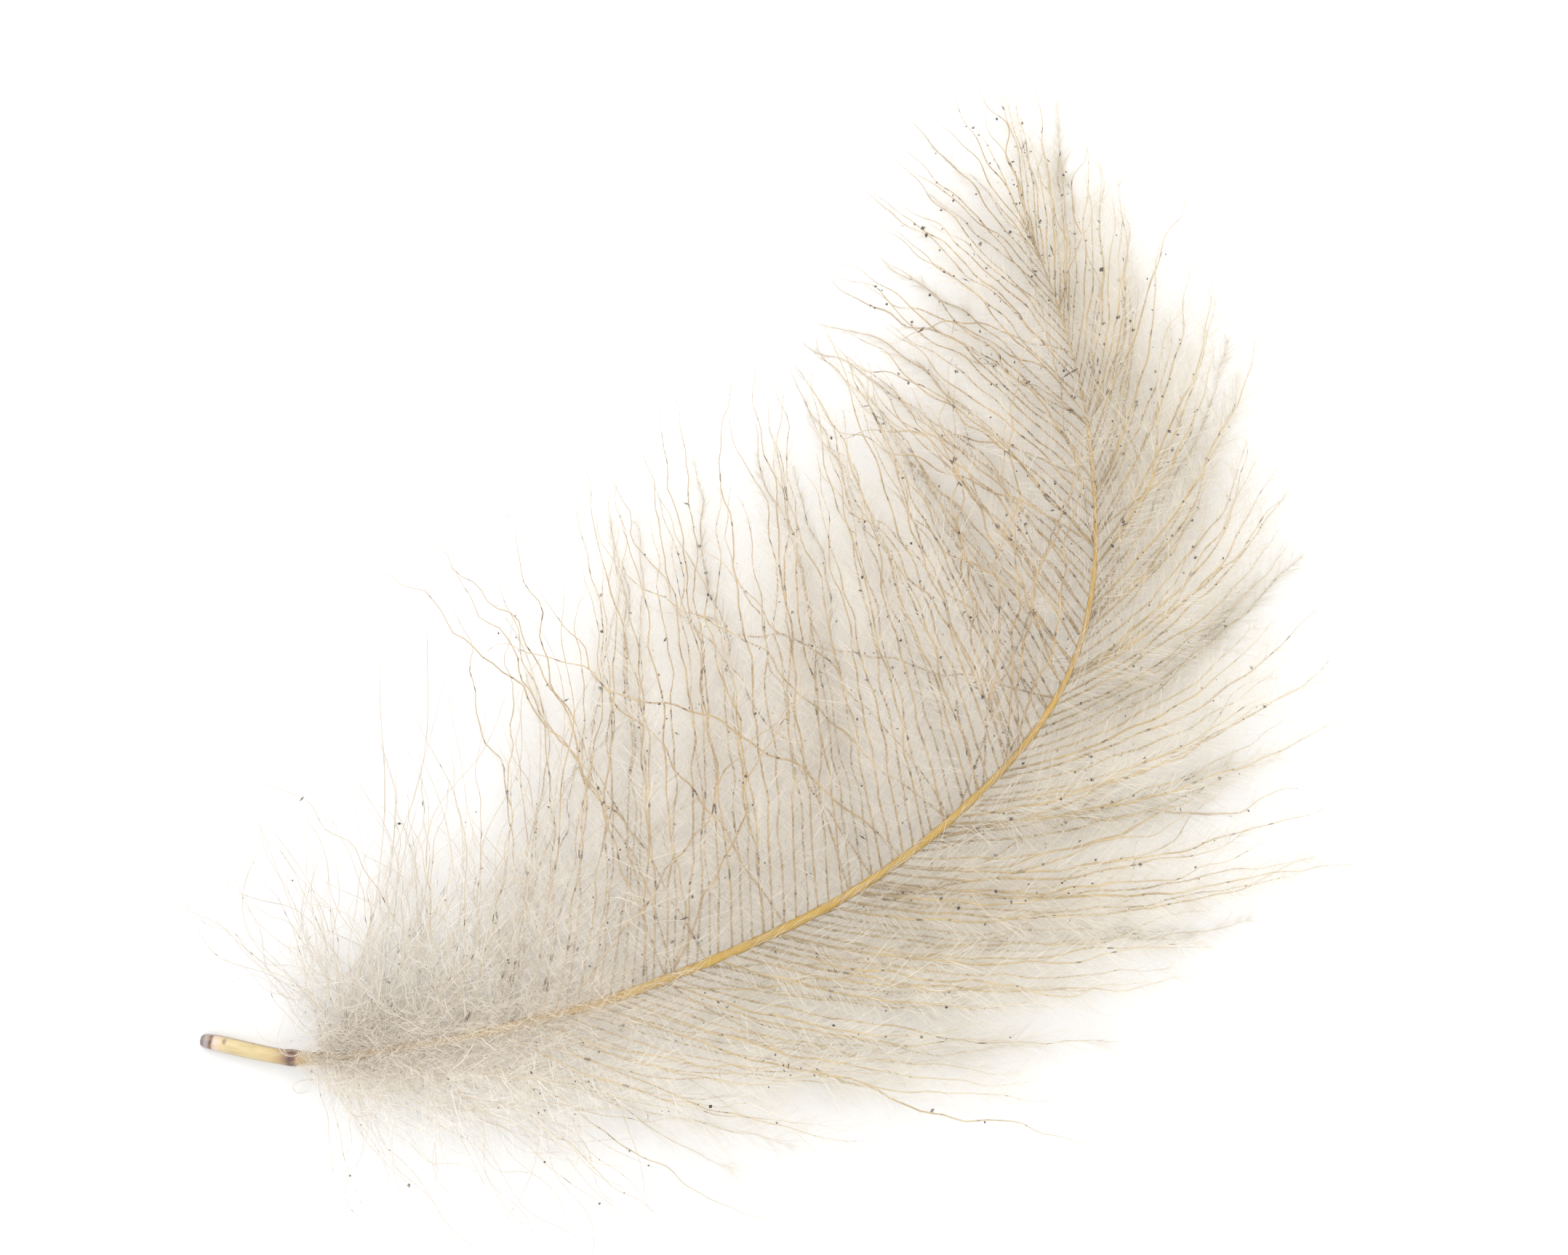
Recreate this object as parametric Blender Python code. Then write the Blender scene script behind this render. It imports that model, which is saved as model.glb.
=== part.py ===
"""A cul de canard feather, lying as it was dropped, at its real size.

It is one grown piece: a short hollow quill, the shaft that carries on from it in a long
bow, the vanes on both sides of the shaft, and the tuft of down over its root. The barbs are
here as locks fused to the shaft.
+X runs from the quill's cut end to the shaft's tip, +Y is the inside of the bow, +Z is up,
and the surface that the feather lies on is z = 0.
"""

import math

import bmesh
import bpy
import numpy as np
from mathutils import Matrix, Vector

MM = 0.001

# The shaft's middle line in millimetres, from the quill's end to the tip, seen from above.
SHAFT_ROUTE = (
    (0.0, 0.0, 0.28),
    (2.1, -2.8, 0.9),
    (5.2, -5.1, 1.7),
    (8.6, -7.2, 2.3),
    (12.7, -9.3, 2.8),
    (19.4, -11.7, 3.1),
    (25.2, -12.4, 3.1),
    (29.8, -11.8, 2.9),
    (33.3, -9.8, 2.6),
    (36.6, -6.2, 2.2),
    (38.7, -2.8, 1.8),
    (40.1, 0.4, 1.5),
)
# What is taken off every x and y, so that the origin is under the middle of the feather.
MIDDLE = (21.82, -8.18)

QUILL_LENGTH = 3.7
QUILL_HOLLOW_RADIUS = 0.14
QUILL_HOLLOW_DEPTH = 0.9
QUILL_HOLLOW_SIDES = 10
# Distance along the shaft, and its radius there.
SHAFT_RADII = (
    (0.0, 0.23),
    (0.35, 0.26),
    (3.1, 0.26),
    (3.4, 0.29),
    (4.0, 0.24),
    (16.0, 0.19),
    (23.0, 0.16),
    (34.0, 0.11),
    (41.0, 0.08),
    (50.0, 0.06),
)
SHAFT_STEPS = 44
SHAFT_SAMPLES = 400
# The shaft's heading at a point is taken from this far behind it to this far ahead.
HEADING_REACH = 0.3
# The first and the last barb grow this far inside the vane's ends.
VANE_MARGIN = 0.25

# How the barbs stand on each side, at places along the vane from 0 at the quill to 1 at the
# tip: the angle off the shaft, how far the barb then turns, both in degrees, and its length.
INNER_VANE = (
    (0.00, 84.0, 40.0, 8.5),
    (0.06, 66.0, 26.0, 10.5),
    (0.15, 60.0, 22.0, 14.3),
    (0.30, 68.0, 14.0, 18.0),
    (0.45, 66.0, 4.0, 17.8),
    (0.60, 58.0, 8.0, 15.0),
    (0.75, 48.0, 14.0, 12.3),
    (0.90, 29.0, 8.0, 9.0),
    (1.00, 11.0, 2.0, 6.0),
)
OUTER_VANE = (
    (0.00, -50.0, 34.0, 7.0),
    (0.15, -38.0, 26.0, 12.5),
    (0.22, -40.0, 22.0, 15.2),
    (0.30, -40.0, 23.0, 15.8),
    (0.45, -42.0, 27.0, 15.2),
    (0.60, -37.0, 34.0, 11.4),
    (0.75, -34.0, 34.0, 9.7),
    (0.90, -24.0, 20.0, 8.4),
    (1.00, -11.0, 6.0, 6.0),
)
# The small after-feather: a fan of down over the root of the shaft. Each lock's angle off the
# shaft, and its length. They grow from one place, and all turn the same way.
AFTER_FEATHER = (
    (-34.0, 5.5),
    (-21.0, 9.0),
    (-8.0, 11.5),
    (5.0, 13.0),
    (18.0, 13.5),
    (31.0, 12.0),
    (45.0, 9.5),
    (60.0, 7.0),
)
AFTER_FEATHER_ROOT = 4.2
AFTER_FEATHER_TURN = 12.0
AFTER_FEATHER_RISE = 1.7
LOCKS_A_SIDE = 32
# Over 1, the locks grow closer together towards the quill.
CROWDING = 1.15
LOCK_STEPS = 7
LOCK_SIDES = 6
LOCK_HALF_WIDTHS = ((0.0, 0.6), (0.25, 0.62), (0.75, 0.46), (1.0, 0.46))
AFTER_FEATHER_HALF_WIDTH = 0.6
LOCK_FLATNESS = 0.42
# The lock's width along its length, as a share of its widest.
LOCK_SHAPE = ((0.0, 0.28), (0.15, 0.6), (0.4, 1.0), (0.7, 0.85), (0.9, 0.5), (1.0, 0.16))
# How high the down stands over and under the shaft, from the quill to the tip.
FLUFF = ((0.0, 3.0), (0.3, 2.6), (0.6, 2.0), (1.0, 0.9))
# The locks take turns to lie on the surface, stand up and run level.
LAYERS = ("lying", "raised", "level")
LYING_HEIGHT = 0.13

DOWN_COLOUR = (0.66, 0.58, 0.48, 1.0)
DOWN_ROUGHNESS = 0.9


def between(table, x, column=1):
    """The value in a table's column at x, in straight steps between its rows."""
    return float(np.interp(x, [row[0] for row in table], [row[column] for row in table]))


def smooth_curve(points, steps):
    """Points on a Catmull-Rom curve through the given ones, evenly spaced along it."""
    known = np.array(points, float)
    ends = np.vstack([2 * known[0] - known[1], known, 2 * known[-1] - known[-2]])
    fine = []
    for a, b, c, d in zip(ends, ends[1:], ends[2:], ends[3:]):
        for t in np.linspace(0, 1, 40, endpoint=False):
            fine.append(
                0.5 * (2 * b + (c - a) * t + (2 * a - 5 * b + 4 * c - d) * t**2
                       + (3 * b - a - 3 * c + d) * t**3)
            )
    fine = np.array(fine + [known[-1]])
    run = np.concatenate([[0], np.cumsum(np.linalg.norm(np.diff(fine, axis=0), axis=1))])
    wanted = np.linspace(0, run[-1], steps + 1)
    even = np.column_stack([np.interp(wanted, run, fine[:, axis]) for axis in range(3)])
    return even, wanted


SHAFT_FINE, SHAFT_RUN = smooth_curve(SHAFT_ROUTE, SHAFT_SAMPLES)


def on_shaft(run):
    """The point of the shaft at this distance from the quill's end, and its heading there."""
    point = np.array([np.interp(run, SHAFT_RUN, SHAFT_FINE[:, axis]) for axis in range(3)])
    ahead, behind = (
        [np.interp(at, SHAFT_RUN, SHAFT_FINE[:, axis]) for axis in range(2)]
        for at in (run + HEADING_REACH, run - HEADING_REACH)
    )
    return point, math.atan2(ahead[1] - behind[1], ahead[0] - behind[0])


def height_on_lock(layer, root_height, fluff, t):
    """How high a lock's middle line is, at a share t of its length."""
    if layer == "lying":
        return max(LYING_HEIGHT, root_height * (1 - 1.7 * t))
    if layer == "raised":
        return root_height + fluff * (1.5 * t - 0.75 * t * t)
    return root_height * (1 - 0.35 * t * t) + 0.25 * fluff * t * (1 - t)


def lock_route(run, angle, turn, length, layer, fluff):
    """The middle line of the lock that leaves the shaft at this distance and angle."""
    point, heading = on_shaft(run)
    heading, turn = heading + math.radians(angle), math.radians(turn)
    step = length / LOCK_STEPS
    route = []
    x, y = point[:2]
    for i in range(LOCK_STEPS + 1):
        t = i / LOCK_STEPS
        route.append((x, y, height_on_lock(layer, point[2], fluff, t)))
        x += step * math.cos(heading + turn * (t + 0.5 / LOCK_STEPS))
        y += step * math.sin(heading + turn * (t + 0.5 / LOCK_STEPS))
    return route


def vane_route(vane, place, layer):
    """The middle line of the lock that grows at this place along the vane."""
    first, last = QUILL_LENGTH + VANE_MARGIN, SHAFT_RUN[-1] - VANE_MARGIN
    angle, turn, length = (between(vane, place, column) for column in (1, 2, 3))
    return lock_route(
        first + place * (last - first), angle, turn, length, layer, between(FLUFF, place)
    )


def in_place(point):
    """A point in millimetres, moved so that the origin is under the feather's middle."""
    return (
        (point[0] - MIDDLE[0]) * MM,
        (point[1] - MIDDLE[1]) * MM,
        point[2] * MM,
    )


def clear_scene():
    for obj in list(bpy.data.objects):
        bpy.data.objects.remove(obj)


def new_collection(name):
    collection = bpy.data.collections.new(name)
    bpy.context.scene.collection.children.link(collection)
    return collection


def new_material(name, colour, roughness):
    material = bpy.data.materials.new(name)
    material.use_nodes = True
    shader = material.node_tree.nodes["Principled BSDF"]
    shader.inputs["Base Color"].default_value = colour
    shader.inputs["Roughness"].default_value = roughness
    shader.inputs["Metallic"].default_value = 0.0
    return material


def new_curve(name, points, radii):
    """A curve object along points in millimetres, with a radius at each."""
    curve = bpy.data.curves.new(name, "CURVE")
    curve.dimensions = "3D"
    curve.twist_mode = "Z_UP"
    curve.use_fill_caps = True
    spline = curve.splines.new("POLY")
    spline.points.add(len(points) - 1)
    for knot, point, radius in zip(spline.points, points, radii):
        knot.co = (*in_place(point), 1.0)
        knot.radius = radius
    return bpy.data.objects.new(name, curve)


def as_mesh(curve_object, collection, material):
    """The curve as a mesh object with its caps welded on. The curve is removed."""
    bpy.context.scene.collection.objects.link(curve_object)
    graph = bpy.context.evaluated_depsgraph_get()
    mesh = bpy.data.meshes.new_from_object(curve_object.evaluated_get(graph))
    name = curve_object.name
    place = curve_object.matrix_world.copy()
    bpy.data.objects.remove(curve_object)
    shape = bmesh.new()
    shape.from_mesh(mesh)
    bmesh.ops.remove_doubles(shape, verts=shape.verts, dist=1e-6)
    bmesh.ops.recalc_face_normals(shape, faces=shape.faces)
    shape.to_mesh(mesh)
    shape.free()
    solid = bpy.data.objects.new(name, mesh)
    solid.matrix_world = place
    mesh.materials.clear()
    mesh.materials.append(material)
    collection.objects.link(solid)
    return solid


def make_shaft(collection, material):
    """The quill and the shaft in one: a tapering tube with round sides and a blunt end."""
    points, run = smooth_curve(SHAFT_ROUTE, SHAFT_STEPS)
    radii = [between(SHAFT_RADII, at) for at in run]
    shaft = new_curve("feather", points, radii)
    shaft.data.bevel_depth = MM
    shaft.data.bevel_resolution = 2
    return as_mesh(shaft, collection, material)


def make_lock_section():
    """The flattened section that every lock follows."""
    section = bpy.data.curves.new("lock_section", "CURVE")
    section.dimensions = "2D"
    spline = section.splines.new("POLY")
    spline.points.add(LOCK_SIDES - 1)
    spline.use_cyclic_u = True
    for i, knot in enumerate(spline.points):
        angle = 2 * math.pi * i / LOCK_SIDES
        knot.co = (math.cos(angle) * MM, math.sin(angle) * LOCK_FLATNESS * MM, 0.0, 1.0)
    return bpy.data.objects.new("lock_section", section)


def make_lock(name, route, half_width, section, collection, material):
    radii = [half_width * between(LOCK_SHAPE, i / LOCK_STEPS) for i in range(LOCK_STEPS + 1)]
    lock = new_curve(name, route, radii)
    lock.data.bevel_mode = "OBJECT"
    lock.data.bevel_object = section
    as_mesh(lock, collection, material)


def make_locks(collection, material):
    """The locks of both vanes and of the after-feather, each an object of its own."""
    section = make_lock_section()
    collection.objects.link(section)
    for side, vane, shift in (("inner", INNER_VANE, 0), ("outer", OUTER_VANE, 1)):
        for i in range(LOCKS_A_SIDE):
            place = (i / (LOCKS_A_SIDE - 1)) ** CROWDING
            route = vane_route(vane, place, LAYERS[(i + shift) % len(LAYERS)])
            half_width = between(LOCK_HALF_WIDTHS, place)
            make_lock(f"{side}_lock_{i + 1:02d}", route, half_width, section, collection, material)
    for i, (angle, length) in enumerate(AFTER_FEATHER):
        route = lock_route(
            AFTER_FEATHER_ROOT, angle, AFTER_FEATHER_TURN, length, "raised", AFTER_FEATHER_RISE
        )
        name = f"after_feather_lock_{i + 1}"
        make_lock(name, route, AFTER_FEATHER_HALF_WIDTH, section, collection, material)
    bpy.data.objects.remove(section)


def make_quill_hollow(collection):
    """The small round hollow in the quill's cut end."""
    mouth = Vector(in_place(SHAFT_FINE[0]))
    inside = Vector(in_place(on_shaft(QUILL_HOLLOW_DEPTH)[0]))
    inward = (inside - mouth).normalized()
    overshoot = 0.3 * MM
    depth = QUILL_HOLLOW_DEPTH * MM + overshoot
    mesh = bpy.data.meshes.new("quill_hollow")
    shape = bmesh.new()
    bmesh.ops.create_cone(
        shape,
        cap_ends=True,
        segments=QUILL_HOLLOW_SIDES,
        radius1=QUILL_HOLLOW_RADIUS * MM,
        radius2=QUILL_HOLLOW_RADIUS * MM,
        depth=depth,
    )
    shape.to_mesh(mesh)
    shape.free()
    hollow = bpy.data.objects.new("quill_hollow", mesh)
    hollow.matrix_world = Matrix.Translation(
        mouth + inward * (depth / 2 - overshoot)
    ) @ inward.to_track_quat("Z", "Y").to_matrix().to_4x4()
    collection.objects.link(hollow)
    return hollow


def make_surface(collection):
    """The block under z = 0 that trims the lying locks flat, where they rest on a surface."""
    thickness = 5 * MM
    mesh = bpy.data.meshes.new("surface_below")
    shape = bmesh.new()
    bmesh.ops.create_cube(shape, size=1.0)
    bmesh.ops.scale(shape, verts=shape.verts, vec=(80 * MM, 80 * MM, thickness))
    bmesh.ops.translate(shape, verts=shape.verts, vec=(0, 0, -thickness / 2))
    shape.to_mesh(mesh)
    shape.free()
    block = bpy.data.objects.new("surface_below", mesh)
    collection.objects.link(block)
    return block


def hide_helper(obj):
    obj.hide_render = True
    obj.display_type = "WIRE"


def main():
    clear_scene()
    feather_parts = new_collection("cul_de_canard_feather")
    locks = new_collection("locks_to_fuse")
    cutters = new_collection("cutters")
    down = new_material("feather", DOWN_COLOUR, DOWN_ROUGHNESS)

    feather = make_shaft(feather_parts, down)
    make_locks(locks, down)
    hollow = make_quill_hollow(cutters)
    surface = make_surface(cutters)
    for helper in list(locks.objects) + list(cutters.objects):
        hide_helper(helper)

    fuse = feather.modifiers.new("fuse_locks", "BOOLEAN")
    fuse.operation = "UNION"
    fuse.operand_type = "COLLECTION"
    fuse.collection = locks
    for name, cutter in (("open_quill", hollow), ("rest_flat", surface)):
        cut = feather.modifiers.new(name, "BOOLEAN")
        cut.operation = "DIFFERENCE"
        cut.object = cutter


main()
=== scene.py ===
"""The looks of a cul de canard feather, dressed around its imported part.

It lies on a white surface: a hollow cream quill, a gold shaft that bows to one side, open barbs
on both sides of it, a small after-feather over its root, and the fine barbules that make the
pale haze between the barbs. Every fibre is mesh, grown along the same routes as the part's
locks. Lengths are in millimetres up to in_place, which turns them into metres.
"""

import math
from dataclasses import dataclass

import bpy
import numpy as np
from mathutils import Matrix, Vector

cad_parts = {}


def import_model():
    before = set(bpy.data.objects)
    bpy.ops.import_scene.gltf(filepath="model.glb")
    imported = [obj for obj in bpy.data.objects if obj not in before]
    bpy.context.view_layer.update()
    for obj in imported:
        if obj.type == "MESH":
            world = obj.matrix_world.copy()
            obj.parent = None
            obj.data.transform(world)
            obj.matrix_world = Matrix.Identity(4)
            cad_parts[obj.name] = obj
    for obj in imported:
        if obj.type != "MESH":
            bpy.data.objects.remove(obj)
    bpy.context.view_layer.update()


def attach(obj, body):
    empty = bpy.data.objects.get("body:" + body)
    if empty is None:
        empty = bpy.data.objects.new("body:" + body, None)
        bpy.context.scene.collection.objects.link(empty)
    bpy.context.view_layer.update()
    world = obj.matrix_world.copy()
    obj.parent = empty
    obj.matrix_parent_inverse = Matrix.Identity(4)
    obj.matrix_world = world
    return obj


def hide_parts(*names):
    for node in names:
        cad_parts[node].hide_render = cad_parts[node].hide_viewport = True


MM = 0.001
SEED = 411
UPWARDS = np.array([0.0, 0.0, 1.0])

# The shaft's middle line, as in the part, from the quill's end to the tip.
SHAFT_ROUTE = (
    (0.0, 0.0, 0.28), (2.1, -2.8, 0.9), (5.2, -5.1, 1.7), (8.6, -7.2, 2.3), (12.7, -9.3, 2.8),
    (19.4, -11.7, 3.1), (25.2, -12.4, 3.1), (29.8, -11.8, 2.9), (33.3, -9.8, 2.6),
    (36.6, -6.2, 2.2), (38.7, -2.8, 1.8), (40.1, 0.4, 1.5),
)
# Where the part's own middle is on that drawing.
MIDDLE = (21.82, -8.18)
# The vanes begin this far past the bare quill, and end as far short of the tip.
QUILL_LENGTH = 3.7
VANE_MARGIN = 0.25
# The shaft's heading at a place is taken over this distance to either side.
HEADING_REACH = 0.3

# How the barbs stand at places along the vane, from 0 at the quill to 1 at the tip, as in the
# part: the angle off the shaft, how far the barb then turns, both in degrees, and its length.
INNER_SHAPE = (
    (0.00, 84.0, 40.0, 8.5),
    (0.06, 66.0, 26.0, 10.5),
    (0.15, 60.0, 22.0, 14.3),
    (0.30, 68.0, 14.0, 18.0),
    (0.45, 66.0, 4.0, 17.8),
    (0.60, 58.0, 8.0, 15.0),
    (0.75, 48.0, 14.0, 12.3),
    (0.90, 29.0, 8.0, 9.0),
    (1.00, 11.0, 2.0, 6.0),
)
OUTER_SHAPE = (
    (0.00, -50.0, 34.0, 7.0),
    (0.15, -38.0, 26.0, 12.5),
    (0.22, -40.0, 22.0, 15.2),
    (0.30, -40.0, 23.0, 15.8),
    (0.45, -42.0, 27.0, 15.2),
    (0.60, -37.0, 34.0, 11.4),
    (0.75, -34.0, 34.0, 9.7),
    (0.90, -24.0, 20.0, 8.4),
    (1.00, -11.0, 6.0, 6.0),
)
# Above 1, the barbs stand closer together towards the quill.
CROWDING = 1.15
# How far along the vane the barbs' headings are evened out, so that they don't bunch, and on
# how many samples.
EVENING = 0.05
EVENING_SAMPLES = 200
# How much more a barb strays at the quill, and the places over which that fades.
ROOT_STRAY = 8.0
ROOT_STRAY_FADES = (0.02, 0.24)
# How many times as wavy as others the crossing barbs are, and their share of the barbules.
CROSSING_CRINKLE = 1.7
CROSSING_BARBULES = 0.2
# How high the down stands over and under the shaft, from the quill to the tip.
FLUFF = ((0.0, 3.0), (0.3, 2.6), (0.6, 2.0), (1.0, 0.9))
# The least height of a barb's middle line, a barbule's, the skin of a barb or flake, and the
# skin of the shaft or a barbule.
LOWEST_BARB = 0.03
LOWEST_BARBULE = 0.01
LOWEST_SKIN = 0.004
LOWEST_FINE_SKIN = 0.003
# The stations along a barb, as shares of its length.
BARB_STEPS = 42
ALONG_BARB = np.linspace(0, 1, BARB_STEPS + 1)[None]
# A barb's radius along its length, and that of a loose one in the down at the root.
BARB_RADII = (
    (0.0, 0.038), (0.1, 0.037), (0.5, 0.033), (0.72, 0.025), (0.88, 0.015), (1.0, 0.005),
)
DOWN_RADII = ((0.0, 0.005), (0.12, 0.014), (0.5, 0.016), (0.85, 0.012), (1.0, 0.005))
# The part's locks take turns to lie on the surface, stand up and run level, and the barbs
# follow the lock that they belong to.
LOCKS_A_SIDE = 32
LOCK_LIFTS = (-1.0, 1.0, 0.0)

# The after-feather: each barb's angle off the shaft, and its length, as in the part.
AFTER_FEATHER = (
    (-34.0, 5.5), (-21.0, 9.0), (-8.0, 11.5), (5.0, 13.0), (18.0, 13.5), (31.0, 12.0),
    (45.0, 9.5), (60.0, 7.0),
)
# Where on the shaft its barbs grow, how far they turn, how high they rise, and their number.
AFTER_FEATHER_ROOTS = (3.9, 5.3)
AFTER_FEATHER_TURN = 12.0
AFTER_FEATHER_RISE = 1.7
AFTER_FEATHER_BARBS = 80
# How full of down the fan is, from its one side to the other.
AFTER_FEATHER_FULLNESS = ((-34.0, 0.8), (-10.0, 1.0), (28.0, 1.0), (42.0, 0.45), (60.0, 0.12))
# Loose barbs that stray out of the down near the quill, in groups: their number, the least and
# greatest place along the shaft, angle off it and length, how much they curl, and their share
# of a full girth.
LOOSE_BARBS = (
    (26, (4.2, 12.0), (20.0, 70.0), (10.0, 17.0), 13.0, 1.3),
    (28, (4.2, 12.0), (10.0, 90.0), (7.0, 15.0), 24.0, 0.85),
    (36, (4.2, 12.0), (60.0, 132.0), (5.0, 10.5), 26.0, 1.25),
    (26, (4.2, 12.0), (50.0, 125.0), (2.0, 5.5), 60.0, 1.15),
    (46, (4.2, 12.0), (-80.0, -15.0), (5.0, 10.5), 24.0, 0.85),
    (44, (4.3, 6.8), (65.0, 120.0), (3.0, 8.5), 60.0, 0.9),
    (18, (4.2, 6.4), (-95.0, -20.0), (1.4, 5.0), 50.0, 0.9),
)
# How high the down stands round the loose barbs, and how far their headings stray.
LOOSE_FLUFF = 2.4
LOOSE_STRAY = 30.0
# The tuft: short downy barbs that lie along the root of the shaft and hide it. Where they
# grow, crowding towards the quill, how far to either side they set off before they curve back
# over it, in degrees, and their length.
TUFT_BARBS = 116
TUFT_ROOTS = (3.2, 13.5)
TUFT_CROWDING = 2.3
TUFT_ANGLE = 68.0
TUFT_LENGTH = (2.2, 5.5)

BARBULE_STEPS = 3
BARBULE_WIDTH = 0.0096
WISP_BARBULE_WIDTH = 0.006
ROOT_BARBULE_WIDTH = 0.009
# A barbule leans off its barb by this angle, give or take, and less at the barb's end. It is
# rolled round the barb by about this angle either way, and bends towards the barb's end.
BARBULE_LEAN = 56.0
BARBULE_LEAN_VARIES = 11.0
BARBULE_LEAN_LOST = 18.0
BARBULE_ROLL = 48.0
BARBULE_BEND = 0.55
BARBULE_CURL = 0.55
# The share of barbules that stray, how many times as long they are, and their curl.
STRAY_BARBULES = 0.06
STRAY_LENGTH = 1.5
STRAY_CURL = 0.9
# Crowded barbules are thinned out on a grid of cells this wide, with spare ones round it, where
# the average over a few cells is compared with what is round about.
HAZE_CELL = 0.25
SPARE_CELLS = 30
NEAR_CELLS = 2
ROUND_CELLS = 9
# Cells with less than this share of the average crowd lie outside the haze.
LEAST_CROWD = 0.25
# From 0, no thinning, to 1, full evenness.
THINNING = 0.7

# The dark flakes: how many are tried, the share that stays at the quill, and the distances
# from it over which that grows to all of them. One loose barb in so many takes some.
DUST_TRIES = 1500
DUST_AT_QUILL = 0.15
DUST_GROWS = (5.0, 21.0)
DUSTY_WISPS = 24
# How far along a barb they sit, their usual size, its spread and its limits, and the share of
# them that is long.
DUST_ALONG = (0.03, 0.84)
DUST_SIZE = 0.036
DUST_SPREAD = 0.4
DUST_LIMITS = (0.02, 0.08)
LONG_DUST = 0.14

# The shaft's radius, from where it starts inside the quill.
SHAFT_STATIONS = 240
SHAFT_RADII = (
    (3.3, 0.22), (9.0, 0.16), (16.0, 0.17), (23.0, 0.165), (30.0, 0.135), (36.0, 0.105),
    (41.0, 0.07), (46.0, 0.038), (50.0, 0.012),
)
# The quill from the bottom of its hollow, out over the rim, and along to where the shaft
# comes out of its collar: distance along the shaft, and radius.
QUILL_RINGS = (
    (0.90, 0.02), (0.86, 0.09), (0.70, 0.14), (0.10, 0.14), (-0.12, 0.12), (-0.20, 0.12),
    (-0.25, 0.14), (-0.24, 0.175), (-0.19, 0.215), (-0.10, 0.245), (0.00, 0.258),
    (0.09, 0.255), (0.15, 0.262), (0.24, 0.276), (0.50, 0.282), (1.00, 0.285), (1.60, 0.282),
    (2.30, 0.272), (2.60, 0.272), (2.80, 0.282), (2.95, 0.298), (3.10, 0.302), (3.22, 0.292),
    (3.35, 0.272), (3.60, 0.255), (4.15, 0.215),
)

# The camera looks straight down. How far the picture is turned round the feather, how wide it
# is at this height over the surface and where its middle lies, in metres, and the lens and
# sensor in millimetres.
IMAGE_TURN = math.radians(44.27)
FRAME_WIDTH = 0.054
FRAME_HEIGHT = 0.002
FRAME_CENTRE = (0.0026, 0.0045)
LENS = 100.0
SENSOR = 36.0
# How far the light stands towards the picture's upper side, and how high, in metres.
LIGHT_PLACE = (0.18, 0.33)
# What the map of the feather from above covers, in metres.
MAP_SIZE = (0.048, 0.036)


@dataclass
class Vane:
    """One side of the feather. Angles are in degrees."""

    name: str
    shape: tuple
    barbs: int
    # How far each barb strays on its own, and how far neighbours stray together.
    stray: float
    drift: float
    # How many more barbs cross the others, nearly bare, how far they stray, and how far they
    # turn towards one side.
    crossing: tuple
    # How wavy the barbs are.
    crinkle: float
    # Which of the lifts the first lock has.
    first_lift: int
    # The share of their full radius that barbs have along the vane.
    girth: tuple
    # Barbules on a millimetre of barb, and the longest of them, along the vane.
    barbules: tuple
    longest: tuple
    # A barbule's length along its barb, as a share of the longest, and how far along that
    # table a barb gets by its end, along the vane.
    haze: tuple
    reach: tuple


INNER = Vane(
    name="inner",
    shape=INNER_SHAPE,
    barbs=112,
    stray=1.2,
    drift=0.25,
    crossing=(56, 19.0, 0.0),
    crinkle=10.0,
    first_lift=0,
    girth=((0.0, 0.35), (0.1, 0.5), (0.2, 0.9), (0.7, 1.0), (1.0, 0.6)),
    barbules=(
        (0.0, 1.0), (0.08, 4.0), (0.22, 34.0), (0.35, 55.0), (0.5, 52.0), (0.65, 40.0),
        (0.8, 50.0), (1.0, 50.0),
    ),
    longest=((0.0, 2.0), (0.2, 2.0), (0.5, 1.95), (0.8, 1.5), (1.0, 1.0)),
    haze=((0.0, 0.8), (0.1, 1.0), (0.5, 0.98), (0.72, 0.7), (0.88, 0.36), (1.0, 0.14)),
    reach=((0.0, 0.8), (0.2, 0.9), (0.35, 1.0)),
)
OUTER = Vane(
    name="outer",
    shape=OUTER_SHAPE,
    barbs=110,
    stray=1.0,
    drift=0.2,
    crossing=(44, 12.0, 4.0),
    crinkle=6.5,
    first_lift=1,
    girth=((0.0, 0.3), (0.1, 0.4), (0.2, 0.85), (0.35, 1.1), (0.7, 1.1), (1.0, 0.6)),
    barbules=(
        (0.0, 12.0), (0.1, 17.0), (0.22, 34.0), (0.35, 54.0), (0.5, 60.0), (0.75, 64.0),
        (1.0, 50.0),
    ),
    longest=((0.0, 2.3), (0.15, 2.3), (0.3, 2.05), (0.5, 2.15), (0.75, 1.95), (1.0, 1.1)),
    haze=((0.0, 0.75), (0.1, 1.0), (0.5, 1.0), (0.7, 0.95), (0.85, 0.75), (1.0, 0.35)),
    reach=((0.0, 0.72), (0.2, 0.85), (0.35, 1.0)),
)
# Barbules on a millimetre of loose barb, and the longest of them.
WISP_BARBULES = 13.0
WISP_LONGEST = 1.8
# A barbule's length along its barb, for the after-feather, the tuft and the loose barbs.
AFTER_HAZE = ((0.0, 0.12), (0.2, 0.45), (0.45, 0.9), (0.7, 1.0), (1.0, 0.45))
TUFT_HAZE = ((0.0, 0.35), (0.3, 1.0), (0.8, 1.0), (1.0, 0.5))
WISP_HAZE = ((0.0, 0.3), (0.2, 1.0), (0.7, 1.0), (1.0, 0.4))
# How full of down a loose barb is, by its angle off the shaft.
WISP_FULLNESS = (
    (-80.0, 0.6), (-30.0, 1.0), (35.0, 1.0), (55.0, 0.6), (80.0, 0.3), (165.0, 0.25),
)


def between(table, x, column=1):
    """The values in a table's column at x, in straight steps between its rows."""
    return np.interp(x, [row[0] for row in table], [row[column] for row in table])


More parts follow.
